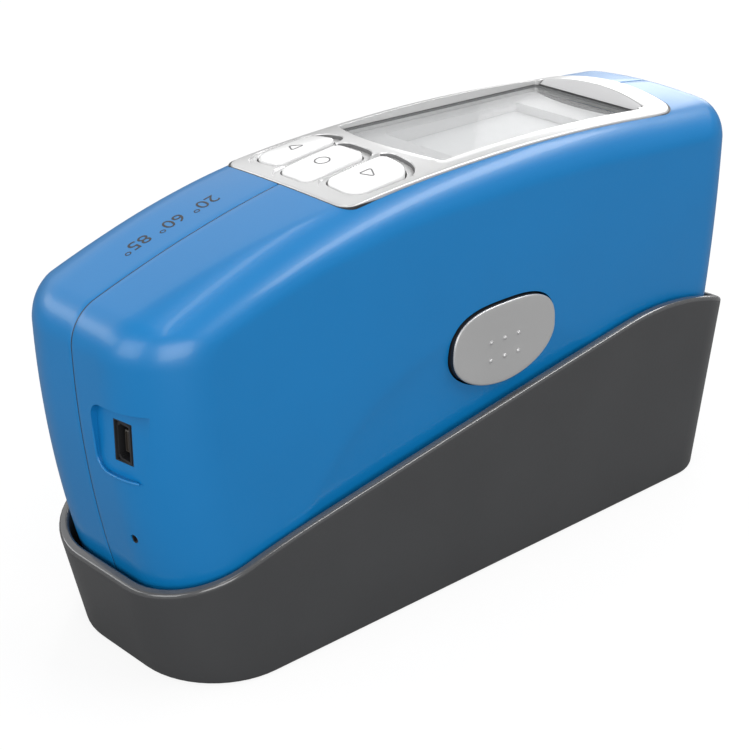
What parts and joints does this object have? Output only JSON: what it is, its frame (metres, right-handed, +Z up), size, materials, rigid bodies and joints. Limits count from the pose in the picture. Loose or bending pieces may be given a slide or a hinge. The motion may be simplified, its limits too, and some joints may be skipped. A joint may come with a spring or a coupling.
{
  "type": "gloss meter",
  "caption": "Hand-held surface gloss meter with an arched blue body, display and keys on top and a side test button, standing in its sloping dark calibration base.",
  "frame": {"origin": "centre of the bounding box in X and Y, on the surface that the base stands on", "axes": "+X along the instrument towards its display end, +Y away from the side with the test button, +Z up"},
  "size_m": [0.164, 0.0528, 0.091],
  "materials": {
    "blue_paint": "satin blue paint over moulded plastic",
    "base_grey": "satin dark grey",
    "silver_panel": "light silver",
    "button_silver": "satin silver",
    "white_key": "glossy white",
    "clear_window": "clear",
    "lcd_grey": "pale grey display glass",
    "inlay_grey": "light grey",
    "black_plastic": "black",
    "board_green": "circuit board",
    "steel": "steel",
    "tile_glass": "polished black glass",
    "battery_wrap": "battery wrap"
  },
  "bodies": {
    "meter_and_base": {"battery_pack": "battery_wrap", "bezel": "silver_panel", "calibration_base": "base_grey", "calibration_tile": "tile_glass", "display_window": "clear_window", "end_inlay": "inlay_grey", "interface_board": "board_green", "key_down_switch": "black_plastic", "key_enter_switch": "black_plastic", "key_up_switch": "black_plastic", "lamp_20": "silver_panel", "lamp_60": "silver_panel", "lamp_85": "silver_panel", "lcd_frame": "black_plastic", "lcd_glass": "lcd_grey", "left_shell": "blue_paint", "main_board": "board_green", "optics_block": "black_plastic", "reset_switch": "black_plastic", "right_shell": "blue_paint", "sensor_20": "steel", "sensor_60": "steel", "sensor_85": "steel", "sole_plate": "black_plastic", "sole_screw_1": "steel", "sole_screw_2": "steel", "sole_screw_3": "steel", "sole_screw_4": "steel", "test_board": "board_green", "test_switch": "black_plastic", "usb_socket": "steel", "usb_tongue": "black_plastic"},
    "key_up": {"key_up": "white_key", "key_up_plunger": "button_silver"},
    "key_enter": {"key_enter": "white_key", "key_enter_plunger": "button_silver"},
    "key_down": {"key_down": "white_key", "key_down_plunger": "button_silver"},
    "test_button": {"test_button": "button_silver", "test_plunger": "button_silver"},
    "reset_plunger": {"reset_plunger": "button_silver"}
  },
  "joints": [
    {"name": "key_up_press", "type": "slide", "parent": "meter_and_base", "child": "key_up", "axis": [0, 0, -1], "range_m": [0, 0.0006], "stiffness_N_per_m": 400, "springref_m": -0.0005},
    {"name": "key_enter_press", "type": "slide", "parent": "meter_and_base", "child": "key_enter", "axis": [0, 0, -1], "range_m": [0, 0.0006], "stiffness_N_per_m": 400, "springref_m": -0.0005},
    {"name": "key_down_press", "type": "slide", "parent": "meter_and_base", "child": "key_down", "axis": [0, 0, -1], "range_m": [0, 0.0006], "stiffness_N_per_m": 400, "springref_m": -0.0005},
    {"name": "test_button_press", "type": "slide", "parent": "meter_and_base", "child": "test_button", "axis": [0, 1, 0], "range_m": [0, 0.001], "stiffness_N_per_m": 600, "springref_m": -0.0005},
    {"name": "reset_press", "type": "slide", "parent": "meter_and_base", "child": "reset_plunger", "axis": [1, 0, 0], "range_m": [0, 0.0003], "stiffness_N_per_m": 300, "springref_m": -0.0003}
  ]
}
